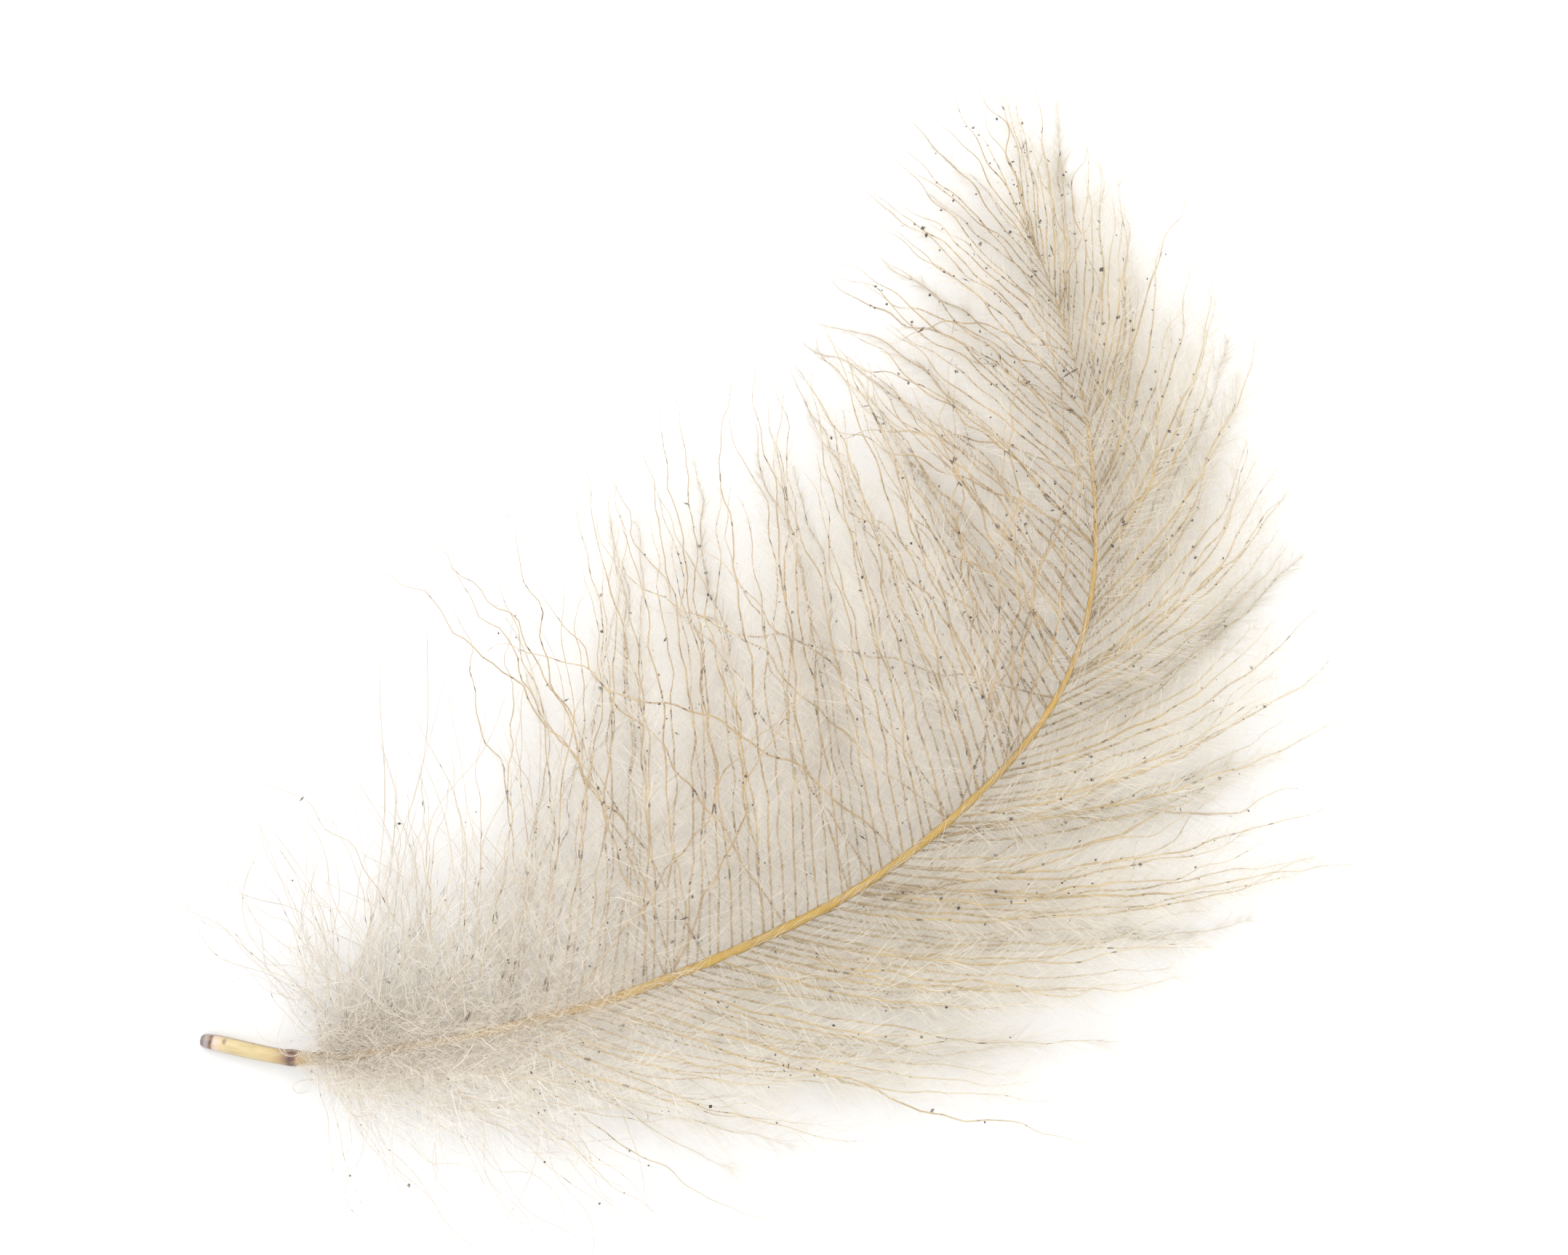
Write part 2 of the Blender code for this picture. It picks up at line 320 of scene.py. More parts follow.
def smooth_step(low, high, x):
    """Rises softly from 0 at low to 1 at high."""
    t = np.clip((x - low) / (high - low), 0, 1)
    return t * t * (3 - 2 * t)


def smooth_curve(points):
    """Fine points on a Catmull-Rom curve through the given ones, and their distance along it."""
    known = np.array(points, float)
    ends = np.vstack([2 * known[0] - known[1], known, 2 * known[-1] - known[-2]])
    fine = []
    for a, b, c, d in zip(ends, ends[1:], ends[2:], ends[3:]):
        for t in np.linspace(0, 1, 40, endpoint=False):
            fine.append(
                0.5 * (2 * b + (c - a) * t + (2 * a - 5 * b + 4 * c - d) * t**2
                       + (3 * b - a - 3 * c + d) * t**3)
            )
    fine = np.array(fine + [known[-1]])
    run = np.concatenate([[0], np.cumsum(np.linalg.norm(np.diff(fine, axis=0), axis=1))])
    return fine, run


SHAFT_FINE, SHAFT_RUN = smooth_curve(SHAFT_ROUTE)
SHAFT_LENGTH = SHAFT_RUN[-1]


def on_shaft(run):
    """Points of the shaft at these distances from the quill's end, (N, 3)."""
    return np.stack([np.interp(run, SHAFT_RUN, SHAFT_FINE[:, axis]) for axis in range(3)], -1)


def shaft_heading(run):
    """The shaft's heading seen from above, in radians."""
    ahead = on_shaft(np.minimum(run + HEADING_REACH, SHAFT_LENGTH))
    behind = on_shaft(np.maximum(run - HEADING_REACH, 0.0))
    return np.arctan2(ahead[..., 1] - behind[..., 1], ahead[..., 0] - behind[..., 0])


def place_to_run(place):
    """Distance along the shaft of a place on the vane."""
    first, last = QUILL_LENGTH + VANE_MARGIN, SHAFT_LENGTH - VANE_MARGIN
    return first + place * (last - first)


def unit(vectors):
    return vectors / np.maximum(np.linalg.norm(vectors, axis=-1, keepdims=True), 1e-9)


def in_place(points):
    """Millimetre points moved to where the part is, in metres."""
    return (points - np.array([MIDDLE[0], MIDDLE[1], 0.0])) * MM


def add_object(name, data):
    """A new object in the scene."""
    obj = bpy.data.objects.new(name, data)
    bpy.context.scene.collection.objects.link(obj)
    return obj


def link_mesh(name, points, loops, sizes, material, along=None, from_above=True):
    """A mesh object from points in millimetres and faces as one run of corners.

    along gives each point a place on the map named along, and from_above adds a map of the
    feather as it is seen from above.
    """
    mesh = bpy.data.meshes.new(name)
    placed = in_place(points).astype(np.float32)
    mesh.vertices.add(len(placed))
    mesh.vertices.foreach_set("co", placed.ravel())
    mesh.loops.add(len(loops))
    mesh.loops.foreach_set("vertex_index", loops.astype(np.int32))
    mesh.polygons.add(len(sizes))
    starts = np.concatenate([[0], np.cumsum(sizes)[:-1]])
    mesh.polygons.foreach_set("loop_start", starts.astype(np.int32))
    mesh.polygons.foreach_set("use_smooth", np.ones(len(sizes), bool))
    if along is not None:
        layer = mesh.uv_layers.new(name="along")
        layer.data.foreach_set("uv", along[loops].astype(np.float32).ravel())
    if from_above:
        layer = mesh.uv_layers.new(name="OFBake")
        seen = in_place(points)[:, :2] / MAP_SIZE + 0.5
        layer.data.foreach_set("uv", seen[loops].astype(np.float32).ravel())
    mesh.update(calc_edges=True)
    mesh.validate()
    mesh.materials.append(material)
    return add_object(name, mesh)


def frames_along(routes):
    """Unit tangents, and two unit vectors square to them, for routes (B, K, 3)."""
    tangent = unit(np.gradient(routes, axis=-2))
    side = unit(np.cross(UPWARDS, tangent))
    return tangent, side, np.cross(tangent, side)


def tube_faces(count, stations, sides):
    """Corners and face sizes of closed tubes whose points run ring by ring."""
    first = np.arange(count)[:, None, None] * stations * sides
    ring_no = np.arange(stations - 1)[None, :, None] * sides
    corner = np.arange(sides)[None, None]
    a = first + ring_no + corner
    b = first + ring_no + (corner + 1) % sides
    quads = np.stack([a, b, b + sides, a + sides], -1).reshape(-1, 4)
    start = (first[:, :, 0] + np.arange(sides)[::-1]).reshape(count, sides)
    end = (first[:, :, 0] + (stations - 1) * sides + np.arange(sides)).reshape(count, sides)
    loops = np.concatenate([quads.ravel(), start.ravel(), end.ravel()])
    sizes = np.concatenate([np.full(len(quads), 4), np.full(2 * count, sides)])
    return loops, sizes


def rings_round(routes, side, up, radii, angles, lowest):
    """Rings of points round the stations of routes (..., 3), none of them below lowest."""
    ring = side[..., None, :] * np.cos(angles) + up[..., None, :] * np.sin(angles)
    points = routes[..., None, :] + ring * radii[..., None, None]
    points[..., 2] = np.maximum(points[..., 2], lowest)
    return points


def tube_mesh(name, routes, radii, sides, material):
    """Tapering closed tubes along routes (B, K, 3), with a radius at each station (B, K)."""
    count, stations = routes.shape[:2]
    _, side, up = frames_along(routes)
    angles = np.linspace(0, 2 * math.pi, sides, endpoint=False)[:, None]
    points = rings_round(routes, side, up, radii, angles, LOWEST_SKIN)
    loops, sizes = tube_faces(count, stations, sides)
    share = np.linspace(0, 1, stations)[None, :, None, None]
    along = np.broadcast_to(share, (count, stations, sides, 2)).reshape(-1, 2)
    return link_mesh(name, points.reshape(-1, 3), loops, sizes, material, along)


def shaft_tube(name, run, radii, sides, material, squash=1.0):
    """A tube on the shaft's own line, with rings at these distances, also back and forth."""
    centre = on_shaft(run)
    tangent = unit(on_shaft(np.clip(run, 0, None) + 0.1) - on_shaft(np.clip(run, 0.1, None) - 0.1))
    centre = centre + tangent * np.minimum(run, 0)[:, None]
    side = unit(np.cross(UPWARDS, tangent))
    up = squash * np.cross(tangent, side)
    angles = np.linspace(0, 2 * math.pi, sides, endpoint=False)[:, None]
    points = rings_round(centre, side, up, radii, angles, LOWEST_FINE_SKIN)
    loops, sizes = tube_faces(1, len(run), sides)
    share = np.broadcast_to((run / SHAFT_LENGTH)[:, None], points.shape[:2])
    around = np.broadcast_to(angles[:, 0] / (2 * math.pi), points.shape[:2])
    along = np.stack([share, around], -1).reshape(-1, 2)
    points = points.reshape(-1, 3)
    return link_mesh(name, points, loops, sizes, material, along, from_above=False)


def ribbon_mesh(name, routes, widths, facing, material):
    """Fine flat fibres that end in a point, along routes (M, K, 3)."""
    count, stations = routes.shape[:2]
    tangent = unit(np.gradient(routes, axis=1))
    across = unit(np.cross(tangent, facing[:, None])) * widths[:, :, None] * 0.5
    left, right = routes[:, :-1] - across[:, :-1], routes[:, :-1] + across[:, :-1]
    pairs = np.stack([left, right], 2).reshape(count, -1, 3)
    points = np.concatenate([pairs, routes[:, -1:]], 1)
    points[..., 2] = np.maximum(points[..., 2], LOWEST_FINE_SKIN)
    per = points.shape[1]
    first = np.arange(count)[:, None] * per
    a = first + np.arange(stations - 2)[None] * 2
    quads = np.stack([a, a + 1, a + 3, a + 2], -1).reshape(-1, 4)
    last = first[:, 0] + 2 * (stations - 2)
    ends = np.stack([last, last + 1, last + 2], -1)
    loops = np.concatenate([quads.ravel(), ends.ravel()])
    sizes = np.concatenate([np.full(len(quads), 4), np.full(count, 3)])
    return link_mesh(name, points.reshape(-1, 3), loops, sizes, material)


def smooth_wander(rng, count, samples, waves):
    """Soft random curves (count, samples) of about unit size, each a few slow waves."""
    t = np.linspace(0, 1, samples)[None]
    total = np.zeros((count, samples))
    for wave in waves:
        phase = rng.uniform(0, 2 * math.pi, (count, 1))
        size = rng.normal(0, 1.2, (count, 1)) / len(waves) ** 0.5
        total += size * np.sin(2 * math.pi * wave * t + phase)
    return total


def crinkles(rng, distance, wavelengths):
    """Soft waves of about unit size along distances (B, K)."""
    total = np.zeros_like(distance)
    for wavelength in wavelengths:
        phase = rng.uniform(0, 2 * math.pi, (len(distance), 1))
        stretch = rng.uniform(0.8, 1.25, (len(distance), 1))
        total += np.sin(2 * math.pi * distance * stretch / wavelength + phase)
    return total / len(wavelengths) ** 0.5


def barb_heights(root_height, fluff, lift):
    """Height along a barb, as the part's locks.

    lift runs from -1, lying on the surface, through 0, level, to 1, raised.
    """
    t = ALONG_BARB
    fall = root_height * (1 - 1.7 * t)
    lying = 0.5 * (fall + 0.06 + np.sqrt((fall - 0.06) ** 2 + 0.05))
    raised = root_height + fluff * (1.5 * t - 0.75 * t * t)
    level = root_height * (1 - 0.35 * t * t) + 0.25 * fluff * t * (1 - t)
    up = np.clip(lift, 0, 1)
    down = np.clip(-lift, 0, 1)
    return level * (1 - up - down) + raised * up + lying * down


def lay_out(root, heading, length, heights):
    """Middle lines (B, K, 3) that leave their roots on these headings (B, K)."""
    step = (length / (heading.shape[1] - 1))[:, None]
    x = root[:, :1] + np.cumsum(np.pad(step * np.cos(heading[:, :-1]), ((0, 0), (1, 0))), 1)
    y = root[:, 1:2] + np.cumsum(np.pad(step * np.sin(heading[:, :-1]), ((0, 0), (1, 0))), 1)
    return np.stack([x, y, np.maximum(heights, LOWEST_BARB)], -1)


def evened(places, grid, values):
    """Values on an even grid from 0 to 1, smoothed so that neighbours fan out evenly."""
    step = grid[1] - grid[0]
    half = int(3 * EVENING / step)
    kernel = np.exp(-0.5 * (np.arange(-half, half + 1) * step / EVENING) ** 2)
    before = values[0] + (values[1] - values[0]) * np.arange(-half, 0)
    after = values[-1] + (values[-1] - values[-2]) * np.arange(1, half + 1)
    smooth = np.convolve(np.concatenate([before, values, after]), kernel / kernel.sum(), "valid")
    return np.interp(places, grid, smooth)


def grow_barbs(rng, vane):
    """The barbs of a vane.

    Gives middle lines (B, K, 3), lengths, places along the vane, and which cross the others.
    """
    t = ALONG_BARB
    number, far, bent = vane.crossing
    row = (np.arange(vane.barbs) + rng.uniform(-0.2, 0.2, vane.barbs)) / (vane.barbs - 1)
    row = np.concatenate([row, rng.uniform(0, 1, number)])
    order = np.argsort(row)
    crosses = order >= vane.barbs
    count = len(row)
    places = np.clip(row[order], 0, 1) ** CROWDING
    run = place_to_run(places)
    root = on_shaft(run)
    drift = smooth_wander(rng, 2, EVENING_SAMPLES, (2.3, 4.1, 7.3)) * vane.drift
    grid = np.linspace(0, 1, EVENING_SAMPLES)
    sweep = np.degrees(shaft_heading(place_to_run(grid))) + between(vane.shape, grid, 1)
    stray = vane.stray * (1 + ROOT_STRAY * (1 - smooth_step(*ROOT_STRAY_FADES, places)))
    angle = evened(places, grid, sweep + drift[0]) + rng.normal(0, 1, count) * stray
    angle += crosses * rng.normal(0, far, count)
    turn = evened(places, grid, between(vane.shape, grid, 2) + 2 * drift[1])
    turn += rng.normal(0, 2, count) * stray + crosses * rng.normal(bent, far, count)
    length = between(vane.shape, places, 3) * (1.1 - rng.gamma(2.0, 0.09, count))
    bend = smooth_wander(rng, count, BARB_STEPS + 1, (0.7, 1.6)) * 0.4 * t
    bend += smooth_wander(rng, count, BARB_STEPS + 1, (1.3, 2.6)) * smooth_step(0.4, 1, t)
    bend += crinkles(rng, t * length[:, None], (1.5, 2.4, 4.2)) * (0.6 + 0.8 * t)
    bend *= vane.crinkle * np.where(crosses, CROSSING_CRINKLE, 1.0)[:, None]
    heading = np.radians(angle[:, None] + turn[:, None] * t + bend * smooth_step(0, 0.25, t))
    lock = places ** (1 / CROWDING) * (LOCKS_A_SIDE - 1) + rng.normal(0, 0.3, count)
    lock = np.rint(lock).astype(int)
    lift = np.array(LOCK_LIFTS)[(lock + vane.first_lift) % len(LOCK_LIFTS)]
    lift = lift + rng.normal(0, 0.5, count)
    heights = barb_heights(
        root[:, 2:], between(FLUFF, places)[:, None], np.clip(lift, -1, 1)[:, None]
    )
    heights += 0.14 * smooth_wander(rng, count, BARB_STEPS + 1, (1.1, 2.3)) * np.minimum(1, 2 * t)
    return lay_out(root, heading, length, heights), length, places, crosses


def grow_after_feather(rng):
    """The small fan of barbs over the root of the shaft, and how much down each carries."""
    t = ALONG_BARB
    count = AFTER_FEATHER_BARBS
    angle = np.linspace(AFTER_FEATHER[0][0], AFTER_FEATHER[-1][0], count)
    angle += rng.normal(0, 3.5, count)
    run = rng.uniform(*AFTER_FEATHER_ROOTS, count)
    root = on_shaft(run)
    length = between(AFTER_FEATHER, angle) * rng.uniform(0.8, 1.04, count)
    bend = smooth_wander(rng, count, BARB_STEPS + 1, (0.7, 1.6)) * 9
    bend += crinkles(rng, t * length[:, None], (1.2, 2.1, 3.6)) * 13
    heading = shaft_heading(run)[:, None] + np.radians(
        angle[:, None] + AFTER_FEATHER_TURN * t + bend * smooth_step(0, 0.3, t)
    )
    rise = AFTER_FEATHER_RISE * rng.uniform(0.2, 1, (count, 1))
    heights = root[:, 2:] + 0.15 * smooth_step(0, 0.1, t) + rise * (1.5 * t - 0.75 * t * t)
    return lay_out(root, heading, length, heights), length * between(AFTER_FEATHER_FULLNESS, angle)


def grow_tuft(rng):
    """Short barbs that lie along the root of the shaft and hide it, and their down."""
    t = ALONG_BARB
    count = TUFT_BARBS
    first, last = TUFT_ROOTS
    run = first + (last - first) * rng.uniform(0, 1, count) ** TUFT_CROWDING
    root = on_shaft(run)
    length = rng.uniform(*TUFT_LENGTH, count)
    bend = crinkles(rng, t * length[:, None], (0.9, 1.7, 3.1)) * 10
    angle = rng.uniform(-TUFT_ANGLE, TUFT_ANGLE, (count, 1))
    back = 1 - 2 * rng.uniform(0.7, 1.2, (count, 1)) * t
    heading = shaft_heading(run)[:, None] + np.radians(angle * back + bend)
    lift = rng.uniform(0.1, 1.5, (count, 1))
    heights = root[:, 2:] + 0.28 * smooth_step(0, 0.12, t) + lift * t * (1.3 - 0.6 * t)
    return lay_out(root, heading, length, heights), length


def grow_wisps(rng, count, roots, angles, lengths, curl):
    """Loose curly barbs that stray out of the down near the quill, and their down."""
    t = ALONG_BARB
    run = rng.uniform(*roots, count)
    root = on_shaft(run)
    length = rng.uniform(*lengths, count)
    bend = smooth_wander(rng, count, BARB_STEPS + 1, (0.5, 1.1, 2.4)) * curl
    angle = rng.uniform(*angles, count)
    turn = rng.normal(0, LOOSE_STRAY, (count, 1))
    heading = shaft_heading(run)[:, None] + np.radians(
        angle[:, None] + turn * t + bend * smooth_step(0, 0.2, t)
    )
    lift = rng.uniform(-1, 1, (count, 1))
    heights = barb_heights(root[:, 2:], LOOSE_FLUFF, lift)
    heights += 0.3 * smooth_wander(rng, count, BARB_STEPS + 1, (0.9, 1.9)) * np.minimum(1, 2 * t)
    return lay_out(root, heading, length, heights), length * between(WISP_FULLNESS, angle)


def along_routes(values, barb, t):
    """Values (B, K, 3) read at a share t of the length of these barbs."""
    place = t * (values.shape[1] - 1)
    low = np.minimum(place.astype(int), values.shape[1] - 2)
    part = (place - low)[:, None]
    return values[barb, low] * (1 - part) + values[barb, low + 1] * part


def grow_barbules(rng, routes, numbers, longest, haze, reach, width=BARBULE_WIDTH):
    """Centre lines (M, K, 3) of the barbules along these barbs, and their widths (M, K).

    numbers and longest give each barb's barbules and the length of its longest one, and reach
    is how far along the haze's table each barb gets.
    """
    tangent, side, up = frames_along(routes)
    barb = np.repeat(np.arange(len(routes)), numbers.astype(int))
    count = len(barb)
    t = rng.uniform(0.005, 0.998, count) ** 1.2
    size = longest[barb] * between(haze, t * reach[barb]) * rng.uniform(0.55, 1.15, count)
    stray = rng.uniform(0, 1, count) < STRAY_BARBULES
    size[stray] *= STRAY_LENGTH
    hand = rng.choice((-1.0, 1.0), count)[:, None]
    along = along_routes(tangent, barb, t)
    across = along_routes(side, barb, t)
    over = along_routes(up, barb, t)
    roll = np.radians(rng.normal(0, BARBULE_ROLL, count))[:, None]
    out = (across * np.cos(roll) + over * np.sin(roll)) * hand
    lean = rng.normal(BARBULE_LEAN, BARBULE_LEAN_VARIES, count) - BARBULE_LEAN_LOST * t
    lean = np.radians(lean)[:, None]
    start = along * np.cos(lean) + out * np.sin(lean)
    curl = np.where(stray, STRAY_CURL, BARBULE_CURL)[:, None]
    stop = unit(start + BARBULE_BEND * along + rng.normal(0, 1, (count, 3)) * curl)
    s = np.linspace(0, 1, BARBULE_STEPS + 1)[None, :, None]
    lines = along_routes(routes, barb, t)[:, None] + size[:, None, None] * (
        start[:, None] * s + (stop - start)[:, None] * s * s * 0.5
    )
    lines[..., 2] = np.maximum(lines[..., 2], LOWEST_BARBULE)
    widths = width * np.clip(rng.lognormal(0, 0.45, (count, 1)), 0.5, 3)
    return lines, widths * np.linspace(1.0, 0.5, BARBULE_STEPS + 1)[None]


def blurred(grid, cells):
    """A grid of numbers, each averaged with its neighbours over about this many cells."""
    kernel = np.exp(-0.5 * (np.arange(-3 * cells, 3 * cells + 1) / cells) ** 2)
    kernel /= kernel.sum()
    for axis in (0, 1):
        grid = np.apply_along_axis(np.convolve, axis, grid, kernel, "same")
    return grid


def thin_out(rng, lines, widths):
    """Drops barbules where they crowd, so that the haze is as even as it is round about."""
    middle = lines[:, 1, :2]
    cell = ((middle - middle.min(0)) / HAZE_CELL).astype(int) + SPARE_CELLS
    crowd = np.zeros(cell.max(0) + 1 + SPARE_CELLS)
    np.add.at(crowd, (cell[:, 0], cell[:, 1]), 1)
    near = blurred(crowd, NEAR_CELLS)
    filled = near > LEAST_CROWD * near[crowd > 0].mean()
    round_about = blurred(near * filled, ROUND_CELLS)
    round_about /= np.maximum(blurred(filled.astype(float), ROUND_CELLS), 0.01)
    share = (round_about / np.maximum(near, 0.01))[cell[:, 0], cell[:, 1]]
    stays = rng.uniform(0, 1, len(lines)) < share**THINNING
    return lines[stays], widths[stays]


def make_barbules(rng, names, lines, widths, material):
    """The barbules as meshes, shared out evenly over these names along the feather."""
    facing = unit(rng.normal(0, 1, (len(lines), 3)))
    parts = np.array_split(np.arange(len(lines)), len(names))
    return [
        ribbon_mesh(name, lines[part], widths[part], facing[part], material)
        for name, part in zip(names, parts)
    ]


def make_dust(rng, routes, count, material):
    """Fine dark flakes that cling to the barbs."""
    shape = np.array([
        (1, 0, 0), (-1, 0, 0), (0, 1, 0), (0, -1, 0), (0, 0, 1), (0, 0, -1),
    ], float)
    corners = np.array([
        (0, 2, 4), (2, 1, 4), (1, 3, 4), (3, 0, 4), (2, 0, 5), (1, 2, 5), (3, 1, 5), (0, 3, 5),
    ])
    barb = rng.integers(0, len(routes), count)
    t = rng.uniform(*DUST_ALONG, count)
    away = np.linalg.norm(along_routes(routes, barb, t) - on_shaft(QUILL_LENGTH), axis=-1)
    grown = smooth_step(*DUST_GROWS, away)
    stays = rng.uniform(0, 1, count) < DUST_AT_QUILL + (1 - DUST_AT_QUILL) * grown
    barb, t = barb[stays], t[stays]
    count = len(barb)
    shift = rng.normal(0, 1, (count, 3)) * (0.22 - 0.19 * t)[:, None]
    shift[:, 2] = np.abs(shift[:, 2])
    centre = along_routes(routes, barb, t) + shift
    size = np.clip(rng.lognormal(math.log(DUST_SIZE), DUST_SPREAD, (count, 1)), *DUST_LIMITS)
    long = rng.uniform(0, 1, (count, 1)) < LONG_DUST
    reach = np.concatenate(
        [size * np.where(long, 2.6, 1.25), size * np.where(long, 0.5, 0.9), size * 0.45], 1
    )
    turn = rng.uniform(0, 2 * math.pi, count)
    points = shape[None] * reach[:, None] * rng.uniform(0.7, 1.2, (count, 6, 1))
    x = points[..., 0] * np.cos(turn)[:, None] - points[..., 1] * np.sin(turn)[:, None]
    y = points[..., 0] * np.sin(turn)[:, None] + points[..., 1] * np.cos(turn)[:, None]
    points = np.stack([x, y, points[..., 2]], -1) + centre[:, None]
    points[..., 2] = np.maximum(points[..., 2], LOWEST_SKIN)
    loops = (np.arange(count)[:, None, None] * 6 + corners[None]).ravel()
    sizes = np.full(count * 8, 3)
    return link_mesh("dark_dust", points.reshape(-1, 3), loops, sizes, material)


def feed(tree, source, socket):
    """Links an output to a socket, or sets the socket to a plain value."""
    if isinstance(source, bpy.types.NodeSocket):
        tree.links.new(source, socket)
    else:
        socket.default_value = source


def new_group(name, colours, numbers=()):
    """A shader node group that takes colours, and numbers as (name, value), and gives a colour."""
    group = bpy.data.node_groups.new(name, "ShaderNodeTree")
    for word in colours:
        group.interface.new_socket(word, in_out="INPUT", socket_type="NodeSocketColor")
    for word, value in numbers:
        socket = group.interface.new_socket(word, in_out="INPUT", socket_type="NodeSocketFloat")
        socket.default_value = value
    group.interface.new_socket("Colour", in_out="OUTPUT", socket_type="NodeSocketColor")
    start = group.nodes.new("NodeGroupInput")
    end = group.nodes.new("NodeGroupOutput")
    return group, start, end


def stretched(tree, vector, by):
    """A vector with its parts multiplied by these."""
    node = tree.nodes.new("ShaderNodeVectorMath")
    node.operation = "MULTIPLY"
    node.inputs[1].default_value = by
    tree.links.new(vector, node.inputs[0])
    return node.outputs["Vector"]


def flat_position(tree):
    """The surface point with its height left out, so that a pattern runs straight down."""
    place = tree.nodes.new("ShaderNodeNewGeometry")
    return stretched(tree, place.outputs["Position"], (1.0, 1.0, 0.0))


def noise_texture(tree, place, scale, detail):
    """How strong a soft noise is at this place."""
    noise = tree.nodes.new("ShaderNodeTexNoise")
    noise.inputs["Detail"].default_value = detail
    feed(tree, place, noise.inputs["Vector"])
    feed(tree, scale, noise.inputs["Scale"])
    return noise.outputs["Fac"]


def spread_out(tree, value, low, high, to_low=0.0, to_high=1.0, soft=False):
    """A value from low to high, spread out from to_low to to_high and held between them."""
    node = tree.nodes.new("ShaderNodeMapRange")
    if soft:
        node.interpolation_type = "SMOOTHSTEP"
    feed(tree, value, node.inputs["Value"])
    feed(tree, low, node.inputs["From Min"])
    feed(tree, high, node.inputs["From Max"])
    node.inputs["To Min"].default_value = to_low
    node.inputs["To Max"].default_value = to_high
    return node.outputs["Result"]


def calculate(tree, operation, first, second=0.5, clamp=False):
    """The result of a sum on one or two values."""
    node = tree.nodes.new("ShaderNodeMath")
    node.operation = operation
    node.use_clamp = clamp
    feed(tree, first, node.inputs[0])
    feed(tree, second, node.inputs[1])
    return node.outputs["Value"]


def mix_colour(tree, factor, first, second):
    """From the first colour at 0 to the second at 1. Its colours are sockets 6 and 7."""
    mix = tree.nodes.new("ShaderNodeMix")
    mix.data_type = "RGBA"
    feed(tree, factor, mix.inputs["Factor"])
    feed(tree, first, mix.inputs[6])
    feed(tree, second, mix.inputs[7])
    return mix.outputs[2]


def read_along(tree):
    """The map named along, and its two shares: along the piece and round it."""
    uv = tree.nodes.new("ShaderNodeUVMap")
    uv.uv_map = "along"
    split = tree.nodes.new("ShaderNodeSeparateXYZ")
    tree.links.new(uv.outputs["UV"], split.inputs["Vector"])
    return uv.outputs["UV"], split.outputs["X"], split.outputs["Y"]


def make_mottle_group():
    """Soft patches of a pale and a dark tone."""
    group, start, end = new_group("mottled_keratin", ("Pale", "Dark"), (("Scale", 500.0),))
    noise = noise_texture(group, flat_position(group), start.outputs["Scale"], 3.0)
    share = spread_out(group, noise, 0.34, 0.62)
    colour = mix_colour(group, share, start.outputs["Dark"], start.outputs["Pale"])
    group.links.new(colour, end.inputs["Colour"])
    return group


def make_fleck_group():
    """Small sharp dark marks, as where dirt has dried on a fibre."""
    group, start, end = new_group(
        "dried_flecks", ("Colour", "Fleck"), (("Scale", 2500.0), ("Threshold", 0.64))
    )
    noise = noise_texture(group, flat_position(group), start.outputs["Scale"], 1.0)
    above = calculate(group, "SUBTRACT", noise, start.outputs["Threshold"])
    sharp = calculate(group, "MULTIPLY", above, 14.0, clamp=True)
    colour = mix_colour(group, sharp, start.outputs["Colour"], start.outputs["Fleck"])
    group.links.new(colour, end.inputs["Colour"])
    return group


def make_barb_group():
    """Changes a barb's colour along its length, next to the shaft and at its free end."""
    group, start, end = new_group("along_the_barb", ("Colour", "By Shaft", "Free End"))
    _, share, _ = read_along(group)
    by_shaft = spread_out(group, share, 0.04, 0.26, 0.5, 0.0, soft=True)
    free_end = spread_out(group, share, 0.45, 1.0, 0.0, 0.85, soft=True)
    colour = mix_colour(group, by_shaft, start.outputs["Colour"], start.outputs["By Shaft"])
    colour = mix_colour(group, free_end, colour, start.outputs["Free End"])
    group.links.new(colour, end.inputs["Colour"])
    return group


def make_base_group():
    """Fades a fibre's colour to the greyer down around the root of the shaft."""
    group, start, end = new_group(
        "greyer_at_the_root", ("Colour", "Grey"), (("Near", 0.004), ("Far", 0.018))
    )
    place = group.nodes.new("ShaderNodeNewGeometry")
    away = group.nodes.new("ShaderNodeVectorMath")
    away.operation = "DISTANCE"
    away.inputs[1].default_value = in_place(on_shaft(QUILL_LENGTH))
    group.links.new(place.outputs["Position"], away.inputs[0])
    share = spread_out(
        group, away.outputs["Value"], start.outputs["Near"], start.outputs["Far"], soft=True
    )
    colour = mix_colour(group, share, start.outputs["Grey"], start.outputs["Colour"])
    group.links.new(colour, end.inputs["Colour"])
    return group


def new_material(name, roughness):
    """A material with this roughness, its node tree and its shader."""
    material = bpy.data.materials.new(name)
    material.use_nodes = True
    tree = material.node_tree
    shader = tree.nodes["Principled BSDF"]
    shader.inputs["Roughness"].default_value = roughness
    return material, tree, shader


def use_group(tree, group, sources):
    """The colour that a group gives, with its inputs linked or set by name."""
    node = tree.nodes.new("ShaderNodeGroup")
    node.node_tree = group
    for word, source in sources.items():
        feed(tree, source, node.inputs[word])
    return node.outputs["Colour"]


def let_light_through(tree, shader, colour, share):
    """Mixes in a translucent share, as thin keratin lets some of the light through."""
    glow = tree.nodes.new("ShaderNodeBsdfTranslucent")
    mix = tree.nodes.new("ShaderNodeMixShader")
    mix.inputs["Fac"].default_value = share
    tree.links.new(colour, shader.inputs["Base Color"])
    tree.links.new(colour, glow.inputs["Color"])
    tree.links.new(shader.outputs["BSDF"], mix.inputs[1])
    tree.links.new(glow.outputs["BSDF"], mix.inputs[2])
    tree.links.new(mix.outputs["Shader"], tree.nodes["Material Output"].inputs["Surface"])


